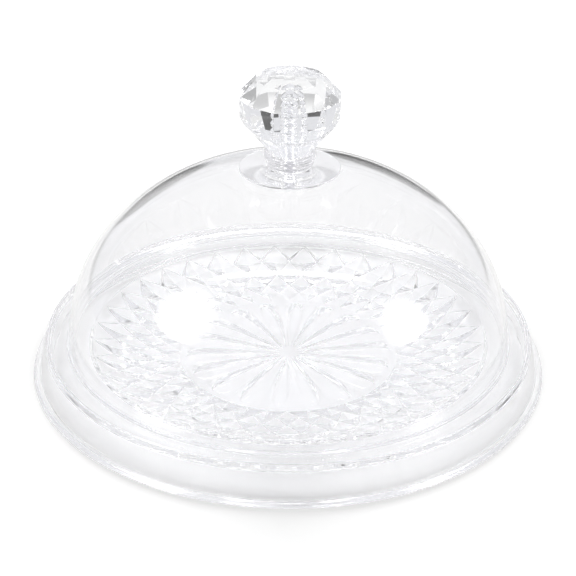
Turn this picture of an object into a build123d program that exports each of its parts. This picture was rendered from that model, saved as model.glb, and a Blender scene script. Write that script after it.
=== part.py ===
from build123d import *
import math
import os

# Cake stand with dome: a clear plate with cut-glass relief under its well, a thin clear dome that
# rests inside the plate's lip, and a faceted knob screwed to the top of the dome.
# Millimetres, +Z up, origin on the table under the middle of the plate.

# Plate rim
foot_diameter = 305.0
foot_bead_width = 3.8
foot_bead_round = 3.0
foot_edge = 0.5
foot_land = 5.2
skirt_wall = 2.6
lip_radius = 144.3
lip_width = 2.5
lip_height = 21.4
ledge_height = 18.6
ledge_thickness = 2.6
ledge_rise = 0.7
ledge_rise_width = 5.2

# Plate well
floor_clearance = 1.8
floor_radius = 62.0
well_wall = 3.2
well_curve_radius = 122.0

# Diamond relief under the well's wall
diamond_count = 36
diamond_rows = 5
diamond_outer_radius = 118.2
diamond_row_ratio = 0.888
diamond_turn = 4.8
groove_depth = 1.7
diamond_crown_depth = 0.15
groove_runout = 4.0
cut_overshoot = 0.3

# Starburst under the floor
petal_count = 18
petal_inner_radius = 5.0
petal_peak_radius = 46.0
petal_outer_radius = 61.5
petal_width = 11.6
petal_depth = 1.4
petal_side_points = 6

# Dome
dome_radius = 130.5
dome_height = 106.0
dome_wall = 2.6
dome_straight = 3.0
dome_rim_width = 1.6
dome_rim_height = 2.4
dome_pad_radius = 12.0
dome_pad_rise = 0.3
dome_inner_pad_radius = 9.0
dome_inner_pad_drop = 0.6

# Knob seat, the flared disc on the dome
seat_radius = 29.0
seat_edge = 1.3
seat_height = 2.6
seat_pad_radius = 14.4
seat_edge_round = 0.4

# Knob collar, the neck of two beads
collar_neck_radius = 12.0
lower_bead_radius = 13.7
lower_bead_height = 4.0
upper_bead_radius = 15.3
upper_bead_height = 5.0
cup_depth = 2.2
cup_rim_width = 0.7

# Faceted knob
knob_sides = 12
knob_turn = 12.0
knob_radius = 28.9
knob_tail_radius = 10.8
knob_break_radius = 20.5
knob_bevel_radius = 26.3
knob_crown_radius = 19.6
knob_table_radius = 9.0
knob_break_height = 12.6
knob_bevel_height = 19.1
knob_girdle_height = 24.4
girdle_depth = 10.6
knob_crown_rise = 10.3
knob_table_rise = 14.8
knob_peak_rise = 16.1

# Screw and washer
screw_diameter = 5.8
screw_in_knob = 26.0
screw_head_radius = 5.4
screw_head_height = 3.0
screw_slot_width = 1.3
screw_slot_depth = 1.2
washer_radius = 8.0
washer_thickness = 1.5

# Named clearances
screw_clearance = 0.2
thread_clearance = 0.05
screw_tip_clearance = 2.0
cup_clearance = 0.3

foot_radius = foot_diameter / 2
lip_inner_radius = lip_radius - lip_width
floor_top = floor_clearance + well_wall
well_centre_height = floor_clearance + well_curve_radius
ledge_underside = ledge_height - ledge_thickness
ledge_inner_radius = floor_radius + math.sqrt(
    (well_curve_radius - well_wall) ** 2 - (well_centre_height - ledge_height) ** 2)
hole_radius = screw_diameter / 2 + screw_clearance

dome_base = ledge_height
dome_spring = dome_base + dome_straight
dome_apex = dome_base + dome_height
dome_rise = dome_apex - dome_spring
dome_pad_top = dome_apex + dome_pad_rise
dome_inner_pad = dome_apex - dome_wall - dome_inner_pad_drop
seat_top = dome_pad_top + seat_height
collar_top = seat_top + lower_bead_height + upper_bead_height
knob_base = collar_top - cup_depth
washer_base = dome_inner_pad - washer_thickness
girdle_top = knob_base + knob_girdle_height + girdle_depth


def polar(radius, angle, height):
    """A point at a radius from the axis, an angle from the +X axis in degrees, and a height."""
    turn = math.radians(angle)
    return (radius * math.cos(turn), radius * math.sin(turn), height)


def revolved(edges):
    """The solid of a closed outline in the XZ plane, turned about the Z axis."""
    outline = Wire(edges)
    return revolve(Face(outline), axis=Axis.Z)


def faceted(polygons):
    """The solid inside a closed set of flat polygons."""
    faces = [Face(Wire.make_polygon(points, close=True)) for points in polygons]
    return Solid(Shell(faces))


def section_points(*points):
    """Outline points given as radius and height, in the XZ plane."""
    return [Vector(radius, 0, height) for radius, height in points]


def lines(*points):
    """Straight edges through outline points."""
    corners = section_points(*points)
    return [Edge.make_line(a, b) for a, b in zip(corners, corners[1:])]


def bulge(start, middle, end):
    """A round edge through three outline points."""
    return Edge.make_three_point_arc(*section_points(start, middle, end))


def quarter_round(centre_radius, centre_height, size):
    """A round outer corner, from level with its centre up to straight above it."""
    half = size * math.sqrt(0.5)
    return bulge((centre_radius + size, centre_height),
                 (centre_radius + half, centre_height + half),
                 (centre_radius, centre_height + size))


def well_height(radius, depth=0.0):
    """Height of the well's underside at a radius, or of a surface that much deeper in its wall."""
    reach = well_curve_radius - depth
    return well_centre_height - math.sqrt(reach ** 2 - (radius - floor_radius) ** 2)


def well_arc(radius_from, radius_to, depth):
    """The curved edge of the well's wall between two radii."""
    middle = (radius_from + radius_to) / 2
    return bulge((radius_from, well_height(radius_from, depth)),
                 (middle, well_height(middle, depth)),
                 (radius_to, well_height(radius_to, depth)))


def plate_body():
    """The plate without its relief: floor, curved well, ledge, lip, skirt and foot bead."""
    underside_edge = floor_radius + math.sqrt(
        well_curve_radius ** 2 - (well_centre_height - ledge_underside) ** 2)
    lip_round = lip_width / 2
    bead_inner = foot_radius - foot_bead_width
    bead_crest = foot_radius - foot_bead_round
    bead_top = foot_edge + foot_bead_round
    foot_inner = foot_radius - foot_land
    rise_start = lip_inner_radius - ledge_rise_width
    edges = lines((0, floor_top), (0, floor_clearance), (floor_radius, floor_clearance))
    edges.append(well_arc(floor_radius, underside_edge, 0))
    edges += lines((underside_edge, ledge_underside),
                   (lip_radius - skirt_wall, ledge_underside),
                   (foot_inner, 0),
                   (foot_radius - foot_edge, 0),
                   (foot_radius, foot_edge))
    edges.append(quarter_round(bead_crest, foot_edge, foot_bead_round))
    edges += lines((bead_crest, bead_top), (bead_inner, bead_top), (lip_radius, lip_height - lip_round))
    edges.append(bulge((lip_radius, lip_height - lip_round),
                       (lip_radius - lip_round, lip_height),
                       (lip_inner_radius, lip_height - lip_round)))
    edges += lines((lip_inner_radius, lip_height - lip_round),
                   (lip_inner_radius, ledge_height + ledge_rise),
                   (rise_start, ledge_height),
                   (ledge_inner_radius, ledge_height))
    edges.append(well_arc(ledge_inner_radius, floor_radius, well_wall))
    edges += lines((floor_radius, floor_top), (0, floor_top))
    return revolved(edges)


def groove_crossing(row, index):
    """Where two grooves cross below a row of diamonds. The first and last rows run out."""
    radius = diamond_outer_radius * diamond_row_ratio ** row
    angle = diamond_turn + (index + (row % 2) / 2) * 360 / diamond_count
    runs_out = row in (0, diamond_rows)
    depth = -cut_overshoot if runs_out else groove_depth
    return polar(radius, angle, well_height(radius, depth))


def diamond_crown(row, index, depth):
    """The high point in the middle of a diamond."""
    radius = diamond_outer_radius * diamond_row_ratio ** row
    angle = diamond_turn + (index + ((row + 1) % 2) / 2) * 360 / diamond_count
    return polar(radius, angle, well_height(radius, depth))


def diamond_relief():
    """The space to cut from the well's underside, which leaves rows of staggered diamonds."""
    polygons = []
    outer_rim = []
    inner_rim = []
    for index in range(diamond_count):
        for row in range(1, diamond_rows):
            side = row % 2
            top = groove_crossing(row - 1, index)
            left = groove_crossing(row, index - side)
            right = groove_crossing(row, index - side + 1)
            bottom = groove_crossing(row + 1, index)
            crown = diamond_crown(row, index, diamond_crown_depth)
            corners = [top, left, bottom, right]
            for a, b in zip(corners, corners[1:] + corners[:1]):
                polygons.append([a, b, crown])
        tip = groove_crossing(0, index)
        next_tip = groove_crossing(0, index + 1)
        valley = groove_crossing(1, index)
        shoulder_radius = diamond_outer_radius * diamond_row_ratio + groove_runout
        shoulder_angle = diamond_turn + (index + 0.5) * 360 / diamond_count
        shoulder = polar(shoulder_radius, shoulder_angle, well_height(shoulder_radius, -cut_overshoot))
        polygons.append([tip, valley, shoulder])
        polygons.append([valley, next_tip, shoulder])
        outer_rim += [tip, shoulder]
        side = diamond_rows % 2
        last_top = groove_crossing(diamond_rows - 1, index)
        last_left = groove_crossing(diamond_rows, index - side)
        last_right = groove_crossing(diamond_rows, index - side + 1)
        last_crown = diamond_crown(diamond_rows, index, -cut_overshoot)
        polygons.append([last_top, last_left, last_crown])
        polygons.append([last_top, last_crown, last_right])
        inner_rim += [last_left, last_crown]
    lowered = floor_clearance - 3 * groove_depth
    for rim in (outer_rim, inner_rim):
        for a, b in zip(rim, rim[1:] + rim[:1]):
            polygons.append([a, b, (b[0], b[1], lowered), (a[0], a[1], lowered)])
    faces = [Face(Wire.make_polygon(points, close=True)) for points in polygons]
    outer_wire, inner_wire = [
        Wire.make_polygon([(x, y, lowered) for x, y, z in rim], close=True)
        for rim in (outer_rim, inner_rim)]
    faces.append(Face(outer_wire, [inner_wire]))
    return Solid(Shell(faces))


def petal_half_width(radius):
    """Half the width of a petal at a radius: slow to open, quick to close."""
    if radius < petal_peak_radius:
        share = (radius - petal_inner_radius) / (petal_peak_radius - petal_inner_radius)
        return petal_width / 2 * math.sin(math.pi / 2 * share)
    share = (petal_outer_radius - radius) / (petal_outer_radius - petal_peak_radius)
    return petal_width / 2 * math.sqrt(1 - (1 - share) ** 2)


def petal_cutter():
    """A leaf-shaped pyramid whose section at the floor's underside is one petal along +X."""
    step_in = (petal_peak_radius - petal_inner_radius) / petal_side_points
    step_out = (petal_outer_radius - petal_peak_radius) / petal_side_points
    side = [petal_inner_radius + step_in * k for k in range(1, petal_side_points)]
    side += [petal_peak_radius + step_out * k for k in range(petal_side_points)]
    outline = [(petal_inner_radius, 0)]
    outline += [(radius, -petal_half_width(radius)) for radius in side]
    outline.append((petal_outer_radius, 0))
    outline += [(radius, petal_half_width(radius)) for radius in reversed(side)]
    base_height = floor_clearance - petal_depth
    peak = (petal_peak_radius, 0, floor_clearance + petal_depth)
    base = [(petal_peak_radius + 2 * (x - petal_peak_radius), 2 * y, base_height) for x, y in outline]
    polygons = [[a, b, peak] for a, b in zip(base, base[1:] + base[:1])]
    polygons.append(base)
    return faceted(polygons)


def base_plate():
    """The plate with its diamonds and its starburst."""
    cutter = petal_cutter()
    turns = [diamond_turn + index * 360 / petal_count for index in range(petal_count)]
    petals = [cutter.rotate(Axis.Z, turn) for turn in turns]
    return plate_body() - diamond_relief() - petals


def ellipse_edge(half_width, half_height, radius_from):
    """The dome's curve from its spring line up to the radius where it meets a flat pad."""
    end = math.degrees(math.acos(radius_from / half_width))
    plane = Plane(origin=(0, 0, dome_spring), x_dir=(1, 0, 0), z_dir=(0, -1, 0))
    return Edge.make_ellipse(half_width, half_height, plane=plane, start_angle=0, end_angle=end)


def dome_cover():
    """The thin clear dome, with a small rim at its base and flat pads round its screw hole."""
    inner_radius = dome_radius - dome_wall
    outer = ellipse_edge(dome_radius, dome_rise, dome_pad_radius)
    inner = ellipse_edge(inner_radius, dome_rise - dome_wall, dome_inner_pad_radius)
    outer_top = outer @ 1
    inner_top = inner @ 1
    rim_radius = dome_radius + dome_rim_width
    rim_round = dome_rim_width / 2
    rim_top = dome_base + dome_rim_height
    edges = lines((inner_radius, dome_spring), (inner_radius, dome_base),
                  (rim_radius, dome_base), (rim_radius, rim_top - rim_round))
    edges.append(quarter_round(rim_radius - rim_round, rim_top - rim_round, rim_round))
    edges += lines((rim_radius - rim_round, rim_top), (dome_radius, rim_top), (dome_radius, dome_spring))
    edges.append(outer)
    edges += lines((outer_top.X, outer_top.Z), (dome_pad_radius, dome_pad_top),
                   (hole_radius, dome_pad_top), (hole_radius, dome_inner_pad),
                   (dome_inner_pad_radius, dome_inner_pad), (inner_top.X, inner_top.Z))
    edges.append(inner)
    return revolved(edges)


def knob_seat():
    """The flared disc: flat below, and a hollow curve from its thin edge up to the neck's pad."""
    edge_top = dome_pad_top + seat_edge
    curve_radius = (seat_radius + seat_pad_radius) / 2
    curve_height = edge_top + (seat_top - edge_top) * 0.3
    edges = lines((hole_radius, seat_top), (hole_radius, dome_pad_top),
                  (seat_radius - seat_edge_round, dome_pad_top),
                  (seat_radius, dome_pad_top + seat_edge_round), (seat_radius, edge_top))
    edges.append(bulge((seat_radius, edge_top), (curve_radius, curve_height), (seat_pad_radius, seat_top)))
    edges += lines((seat_pad_radius, seat_top), (hole_radius, seat_top))
    return revolved(edges)


def knob_collar():
    """The neck: two stacked beads, with a cup in the top one that holds the knob's tail."""
    waist = seat_top + lower_bead_height
    slope = (knob_break_radius - knob_tail_radius) / knob_break_height
    cup_floor_radius = knob_tail_radius + cup_clearance
    cup_mouth_radius = cup_floor_radius + slope * cup_depth
    rim_radius = cup_mouth_radius + cup_rim_width
    edges = lines((hole_radius, knob_base), (hole_radius, seat_top), (collar_neck_radius, seat_top))
    edges.append(bulge((collar_neck_radius, seat_top),
                       (lower_bead_radius, seat_top + lower_bead_height / 2),
                       (collar_neck_radius, waist)))
    edges.append(bulge((collar_neck_radius, waist),
                       (upper_bead_radius, waist + upper_bead_height / 2),
                       (rim_radius, collar_top)))
    edges += lines((rim_radius, collar_top), (cup_mouth_radius, collar_top),
                   (cup_floor_radius, knob_base), (hole_radius, knob_base))
    return revolved(edges)


def knob_ring(radius, height):
    """The corners of one level of the knob, taken from the knob's base."""
    angles = [knob_turn - 90 + side * 360 / knob_sides for side in range(knob_sides)]
    return [polar(radius, angle, knob_base + height) for angle in angles]


def faceted_knob():
    """The cut knob: tail, pavilion, bevel, upright girdle and a three-step crown up to a point."""
    girdle_top_height = knob_girdle_height + girdle_depth
    rings = [
        knob_ring(knob_tail_radius, 0),
        knob_ring(knob_break_radius, knob_break_height),
        knob_ring(knob_bevel_radius, knob_bevel_height),
        knob_ring(knob_radius, knob_girdle_height),
        knob_ring(knob_radius, girdle_top_height),
        knob_ring(knob_crown_radius, girdle_top_height + knob_crown_rise),
        knob_ring(knob_table_radius, girdle_top_height + knob_table_rise),
    ]
    peak = (0, 0, girdle_top + knob_peak_rise)
    polygons = [rings[0]]
    for lower, upper in zip(rings, rings[1:]):
        for side in range(knob_sides):
            after = (side + 1) % knob_sides
            polygons.append([lower[side], lower[after], upper[after], upper[side]])
    polygons += [[a, b, peak] for a, b in zip(rings[-1], rings[-1][1:] + rings[-1][:1])]
    thread_radius = screw_diameter / 2 + thread_clearance
    thread_depth = screw_in_knob + screw_tip_clearance
    hole = Pos(0, 0, knob_base + thread_depth / 2) * Cylinder(thread_radius, thread_depth)
    return faceted(polygons) - hole


def knob_screw():
    """The screw from inside the dome: a low domed head with a slot, and a plain shank."""
    head_top = washer_base
    head_base = head_top - screw_head_height
    shank_radius = screw_diameter / 2
    tip = knob_base + screw_in_knob
    chamfer_size = shank_radius / 3
    edges = lines((0, head_base), (0, tip), (shank_radius - chamfer_size, tip),
                  (shank_radius, tip - chamfer_size), (shank_radius, head_top),
                  (screw_head_radius, head_top), (screw_head_radius, head_top - screw_head_height / 3))
    edges.append(bulge((screw_head_radius, head_top - screw_head_height / 3),
                       (screw_head_radius * 0.7, head_top - screw_head_height * 0.8),
                       (0, head_base)))
    slot = Pos(0, 0, head_base) * Box(
        3 * screw_head_radius, screw_slot_width, 2 * screw_slot_depth)
    return revolved(edges) - slot


def screw_washer():
    """The soft clear washer between the screw's head and the dome."""
    edges = lines((hole_radius, washer_base), (washer_radius, washer_base),
                  (washer_radius, dome_inner_pad), (hole_radius, dome_inner_pad),
                  (hole_radius, washer_base))
    return revolved(edges)


parts = {
    "base_plate": base_plate(),
    "dome_cover": dome_cover(),
    "knob_seat": knob_seat(),
    "knob_collar": knob_collar(),
    "faceted_knob": faceted_knob(),
    "knob_screw": knob_screw(),
    "screw_washer": screw_washer(),
}

os.makedirs("parts", exist_ok=True)
for name, shape in parts.items():
    shape.label = name
    export_step(shape, f"parts/{name}.step")
    print(name, round(shape.volume), "mm3")
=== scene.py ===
import bmesh
import bpy
import math
from mathutils import Matrix, Vector
from mathutils.geometry import delaunay_2d_cdt


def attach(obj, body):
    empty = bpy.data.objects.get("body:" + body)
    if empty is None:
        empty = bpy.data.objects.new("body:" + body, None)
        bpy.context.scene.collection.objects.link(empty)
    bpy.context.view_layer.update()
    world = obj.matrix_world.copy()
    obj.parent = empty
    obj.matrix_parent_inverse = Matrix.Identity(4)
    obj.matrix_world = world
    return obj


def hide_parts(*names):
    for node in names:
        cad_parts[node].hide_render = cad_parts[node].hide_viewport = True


# Cake stand with dome, all in clear acrylic. Lengths in the settings are millimetres, and metres for
# the camera and the studio.

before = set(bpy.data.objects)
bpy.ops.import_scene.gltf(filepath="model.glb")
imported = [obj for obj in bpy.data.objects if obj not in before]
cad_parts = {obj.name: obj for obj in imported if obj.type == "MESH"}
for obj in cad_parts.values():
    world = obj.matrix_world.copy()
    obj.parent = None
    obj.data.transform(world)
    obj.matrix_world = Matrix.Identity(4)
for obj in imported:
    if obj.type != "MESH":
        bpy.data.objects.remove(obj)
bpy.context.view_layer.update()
print("frame loaded, pieces:", sorted(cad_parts))

scene = bpy.context.scene
mm = 0.001
contactGap = 0.04  # between pieces that touch, so that no two faces coincide
joinDistance = 1e-6  # metres
sectorJoin = 2e-6  # metres, between the repeated sectors of a piece
axisRadius = 1e-6  # what lies nearer to the axis is on it
cornerSteps = 5
cornerShare = 0.48  # the most of an edge that the round at one of its ends takes
sharpAngle = 28  # degrees


# Shared shape helpers

def polarPoint(radius, degrees, height):
    turn = math.radians(degrees)
    return Vector((radius * math.cos(turn), radius * math.sin(turn), height)) * mm


def arcPoints(centreRadius, centreHeight, size, startDegrees, endDegrees, steps):
    points = []
    for step in range(steps + 1):
        turn = math.radians(startDegrees + (endDegrees - startDegrees) * step / steps)
        points.append((centreRadius + size * math.cos(turn), centreHeight + size * math.sin(turn)))
    return points


def throughPoints(start, middle, end, steps):
    # A round line through three points of an outline.
    (ax, ay), (bx, by), (cx, cy) = start, middle, end
    d = 2 * (ax * (by - cy) + bx * (cy - ay) + cx * (ay - by))
    a2, b2, c2 = ax * ax + ay * ay, bx * bx + by * by, cx * cx + cy * cy
    ux = (a2 * (by - cy) + b2 * (cy - ay) + c2 * (ay - by)) / d
    uy = (a2 * (cx - bx) + b2 * (ax - cx) + c2 * (bx - ax)) / d
    size = math.hypot(ax - ux, ay - uy)
    first = math.degrees(math.atan2(ay - uy, ax - ux))
    mid = math.degrees(math.atan2(by - uy, bx - ux))
    last = math.degrees(math.atan2(cy - uy, cx - ux))
    span = (last - first) % 360
    if (mid - first) % 360 > span:
        span -= 360
    return arcPoints(ux, uy, size, first, first + span, steps)


def rounded(corners, closed=False):
    # Corners are (radius, height, round). A round of 0 keeps the corner sharp.
    points = []
    count = len(corners)
    for index, (x, y, size) in enumerate(corners):
        inner = closed or 0 < index < count - 1
        if size <= 0 or not inner:
            points.append((x, y))
            continue
        here = Vector((x, y))
        before = Vector(corners[index - 1][:2]) - here
        after = Vector(corners[(index + 1) % count][:2]) - here
        half = before.angle(after) / 2
        reach = min(size / math.tan(half), before.length * cornerShare, after.length * cornerShare)
        start = here + before.normalized() * reach
        end = here + after.normalized() * reach
        for step in range(cornerSteps + 1):
            share = step / cornerSteps
            mix = start * (1 - share) ** 2 + here * 2 * share * (1 - share) + end * share ** 2
            points.append((mix.x, mix.y))
    return points


def newMesh(name, build):
    bm = bmesh.new()
    build(bm)
    mesh = bpy.data.meshes.new(name)
    bm.to_mesh(mesh)
    bm.free()
    return mesh


def closeUp(mesh, sharpDegrees):
    # Normals point out of the body all over. Flat facets and steep edges stay crisp.
    bm = bmesh.new()
    bm.from_mesh(mesh)
    bmesh.ops.remove_doubles(bm, verts=bm.verts, dist=joinDistance)
    bmesh.ops.recalc_face_normals(bm, faces=bm.faces)
    steep = math.radians(sharpDegrees)
    loose = 0
    for edge in bm.edges:
        if not edge.is_manifold:
            loose += 1
            continue
        flat = any(not face.smooth for face in edge.link_faces)
        edge.smooth = not flat and edge.calc_face_angle() < steep
    bm.to_mesh(mesh)
    bm.free()
    print(mesh.name, "faces", len(mesh.polygons), "open edges", loose)


def turnedBuild(profile, segments):
    # The outline is a closed loop of (radius, height); points on the axis become single corners.
    def build(bm):
        columns = []
        for column in range(segments):
            degrees = column * 360 / segments
            columns.append([
                bm.verts.new(polarPoint(radius, degrees, height)) for radius, height in profile])
        for column in range(segments):
            here, after = columns[column], columns[(column + 1) % segments]
            for row in range(len(profile)):
                rowAfter = (row + 1) % len(profile)
                if profile[row][0] < axisRadius and profile[rowAfter][0] < axisRadius:
                    continue
                corners = [here[row], here[rowAfter], after[rowAfter], after[row]]
                if profile[row][0] < axisRadius:
                    corners = [here[row], here[rowAfter], after[rowAfter]]
                elif profile[rowAfter][0] < axisRadius:
                    corners = [here[row], here[rowAfter], after[row]]
                bm.faces.new(corners).smooth = True
    return build


def ringLine(bm, radius, angles, height):
    return [bm.verts.new(polarPoint(radius, angle, height)) for angle in angles]


def smoothGrid(bm, rows):
    for upper, lower in zip(rows, rows[1:]):
        for k in range(len(upper) - 1):
            bm.faces.new([upper[k], upper[k + 1], lower[k + 1], lower[k]]).smooth = True


def addPiece(name, mesh, material, node, body):
    mesh.materials.clear()
    mesh.materials.append(material)
    piece = bpy.data.objects.new(name, mesh)
    scene.collection.objects.link(piece)
    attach(piece, body)
    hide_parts(node)


def turnedPiece(name, profile, segments, material, node, body, sharpDegrees=sharpAngle):
    mesh = newMesh(name, turnedBuild(profile, segments))
    closeUp(mesh, sharpDegrees)
    addPiece(name, mesh, material, node, body)


# Node trees

def newTree(name, inputs):
    tree = bpy.data.node_groups.new(name, "GeometryNodeTree")
    tree.interface.new_socket("Geometry", in_out="INPUT", socket_type="NodeSocketGeometry")
    for label, kind in inputs:
        tree.interface.new_socket(label, in_out="INPUT", socket_type=kind)
    tree.interface.new_socket("Geometry", in_out="OUTPUT", socket_type="NodeSocketGeometry")
    return tree, tree.nodes.new("NodeGroupInput"), tree.nodes.new("NodeGroupOutput")


def mathNode(tree, operation, *values):
    node = tree.nodes.new("ShaderNodeMath")
    node.operation = operation
    for socket, value in zip(node.inputs, values):
        if isinstance(value, (int, float)):
            socket.default_value = value
        else:
            tree.links.new(value, socket)
    return node.outputs[0]


def axisDistance(tree, x, y):
    squares = mathNode(tree, "ADD", mathNode(tree, "MULTIPLY", x, x), mathNode(tree, "MULTIPLY", y, y))
    return mathNode(tree, "SQRT", squares)


def mapRange(tree, value, fromMin, fromMax, toMin=0.0, toMax=1.0, interpolation="LINEAR"):
    node = tree.nodes.new("ShaderNodeMapRange")
    node.interpolation_type = interpolation
    numbers = {"From Min": fromMin, "From Max": fromMax, "To Min": toMin, "To Max": toMax}
    for label, number in numbers.items():
        node.inputs[label].default_value = number
    tree.links.new(value, node.inputs["Value"])
    return node.outputs["Result"]


def ringPatternTree():
    # One sector of a round piece, repeated about the upright axis and joined up.
    tree, start, end = newTree("ring pattern", [
        ("Count", "NodeSocketInt"), ("Join distance", "NodeSocketFloat"),
        ("Material", "NodeSocketMaterial")])
    link = tree.links.new
    points = tree.nodes.new("GeometryNodePoints")
    place = tree.nodes.new("GeometryNodeInstanceOnPoints")
    index = tree.nodes.new("GeometryNodeInputIndex")
    turn = tree.nodes.new("ShaderNodeCombineXYZ")
    realize = tree.nodes.new("GeometryNodeRealizeInstances")
    join = tree.nodes.new("GeometryNodeMergeByDistance")
    paint = tree.nodes.new("GeometryNodeSetMaterial")
    step = mathNode(tree, "DIVIDE", math.tau, start.outputs["Count"])
    link(mathNode(tree, "MULTIPLY", index.outputs[0], step), turn.inputs["Z"])
    link(start.outputs["Count"], points.inputs["Count"])
    link(points.outputs[0], place.inputs["Points"])
    link(start.outputs["Geometry"], place.inputs["Instance"])
    link(turn.outputs[0], place.inputs["Rotation"])
    link(place.outputs[0], realize.inputs[0])
    link(realize.outputs[0], join.inputs["Geometry"])
    link(start.outputs["Join distance"], join.inputs["Distance"])
    link(join.outputs[0], paint.inputs["Geometry"])
    link(start.outputs["Material"], paint.inputs["Material"])
    link(paint.outputs[0], end.inputs[0])
    return tree


def threadTree():
    # Pushes the side of a plain shank in along a helix, between two heights.
    tree, start, end = newTree("screw thread", [
        ("Pitch", "NodeSocketFloat"), ("Depth", "NodeSocketFloat"), ("Crest radius", "NodeSocketFloat"),
        ("From height", "NodeSocketFloat"), ("To height", "NodeSocketFloat"),
        ("Material", "NodeSocketMaterial")])
    link = tree.links.new
    position = tree.nodes.new("GeometryNodeInputPosition")
    parts = tree.nodes.new("ShaderNodeSeparateXYZ")
    link(position.outputs[0], parts.inputs[0])
    x, y, z = parts.outputs
    radius = axisDistance(tree, x, y)
    angle = mathNode(tree, "DIVIDE", mathNode(tree, "ARCTAN2", y, x), math.tau)
    rise = mathNode(tree, "DIVIDE", z, start.outputs["Pitch"])
    phase = mathNode(tree, "MULTIPLY", mathNode(tree, "SUBTRACT", rise, angle), math.tau)
    wave = mathNode(tree, "MULTIPLY_ADD", mathNode(tree, "COSINE", phase), -0.5, 0.5)
    above = mathNode(tree, "GREATER_THAN", z, start.outputs["From height"])
    below = mathNode(tree, "LESS_THAN", z, start.outputs["To height"])
    sideShare = 0.9  # what lies nearer to the axis than this share of the crest stays
    nearest = mathNode(tree, "MULTIPLY", start.outputs["Crest radius"], sideShare)
    onSide = mathNode(tree, "GREATER_THAN", radius, nearest)
    within = mathNode(tree, "MULTIPLY", mathNode(tree, "MULTIPLY", above, below), onSide)
    cut = mathNode(tree, "MULTIPLY", mathNode(tree, "MULTIPLY", wave, start.outputs["Depth"]), within)
    scale = mathNode(tree, "SUBTRACT", 1.0, mathNode(tree, "DIVIDE", cut, start.outputs["Crest radius"]))
    moved = tree.nodes.new("ShaderNodeCombineXYZ")
    link(mathNode(tree, "MULTIPLY", x, scale), moved.inputs[0])
    link(mathNode(tree, "MULTIPLY", y, scale), moved.inputs[1])
    link(z, moved.inputs[2])
    setPosition = tree.nodes.new("GeometryNodeSetPosition")
    realize = tree.nodes.new("GeometryNodeRealizeInstances")
    paint = tree.nodes.new("GeometryNodeSetMaterial")
    link(start.outputs["Geometry"], setPosition.inputs["Geometry"])
    link(moved.outputs[0], setPosition.inputs["Position"])
    link(setPosition.outputs[0], realize.inputs[0])
    link(realize.outputs[0], paint.inputs["Geometry"])
    link(start.outputs["Material"], paint.inputs["Material"])
    link(paint.outputs[0], end.inputs[0])
    return tree


def meshFromTree(name, startMesh, tree, values, sharpDegrees):
    holder = bpy.data.objects.new(name + ".source", startMesh)
    scene.collection.objects.link(holder)
    modifier = holder.modifiers.new("pattern", "NODES")
    modifier.node_group = tree
    for item in tree.interface.items_tree:
        if item.item_type == "SOCKET" and item.in_out == "INPUT" and item.name in values:
            modifier[item.identifier] = values[item.name]
    evaluated = holder.evaluated_get(bpy.context.evaluated_depsgraph_get())
    mesh = bpy.data.meshes.new_from_object(evaluated)
    mesh.name = name
    bpy.data.objects.remove(holder)
    closeUp(mesh, sharpDegrees)
    return mesh


# Materials

acrylicSettings = {
    "ior": 1.49,
    "waveDetail": 1.0,
    "grainShare": 0.35,  # width of the hazy patches, as a share of the ripple's
    "grainDetail": 3.0,
    "hazeFrom": 0.3,
    "hazeTo": 0.7,
    "lastTurn": 11.5,  # rays that turned more often than this go straight out
}

# Tint, roughness, the share of light that goes straight through to the floor, the depth and width of the
# moulding ripple, and how much the roughness rises in its hazy patches.
finishes = {
    "plate acrylic": {
        "tint": (0.99, 0.99, 0.995), "roughness": 0.0, "straight": 0.5,
        "ripple": 0.004, "waveSize": 18, "haze": 0.02},
    "dome acrylic": {
        "tint": (0.995, 0.995, 0.998), "roughness": 0.0, "straight": 1.0,
        "ripple": 0.006, "waveSize": 30, "haze": 0.015},
    "seat acrylic": {
        "tint": (0.99, 0.99, 0.995), "roughness": 0.0, "straight": 0.5,
        "ripple": 0.002, "waveSize": 12, "haze": 0.02},
    # The collar's darker grey tint is painted shade, in place of the dark reflections that it shows.
    "collar acrylic with painted shade": {
        "tint": (0.93, 0.925, 0.93), "roughness": 0.0, "straight": 0.5,
        "ripple": 0.002, "waveSize": 8, "haze": 0.02},
    "knob acrylic": {
        "tint": (0.985, 0.988, 0.992), "roughness": 0.0, "straight": 0.5,
        "ripple": 0.001, "waveSize": 14, "haze": 0.01},
    # The screw's darker grey tint is painted shade, in place of the dark reflections that it shows.
    "screw plastic with painted shade": {
        "tint": (0.88, 0.88, 0.9), "roughness": 0.04, "straight": 0.5,
        "ripple": 0.002, "waveSize": 4, "haze": 0.05},
    "washer plastic": {
        "tint": (0.97, 0.972, 0.975), "roughness": 0.12, "straight": 0.5,
        "ripple": 0.004, "waveSize": 3, "haze": 0.08},
}

# The band round the outside of the plate's foot that casts a painted shadow on the table beside it. It is
# black to the rays that carry light.
footShade = {
    "skirtRadius": 141,
    "footRadius": 145.5,  # the band's inner edge above the bead
    "beadRadius": 151.6,  # and beside the bead
    "beadHeight": 3.6,
    "low": 0.3,
    "high": 12.0,
}


def newMaterial(name):
    material = bpy.data.materials.new(name)
    material.use_nodes = True
    tree = material.node_tree
    tree.nodes.clear()
    return material, tree, tree.nodes.new("ShaderNodeOutputMaterial").inputs["Surface"]


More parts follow.
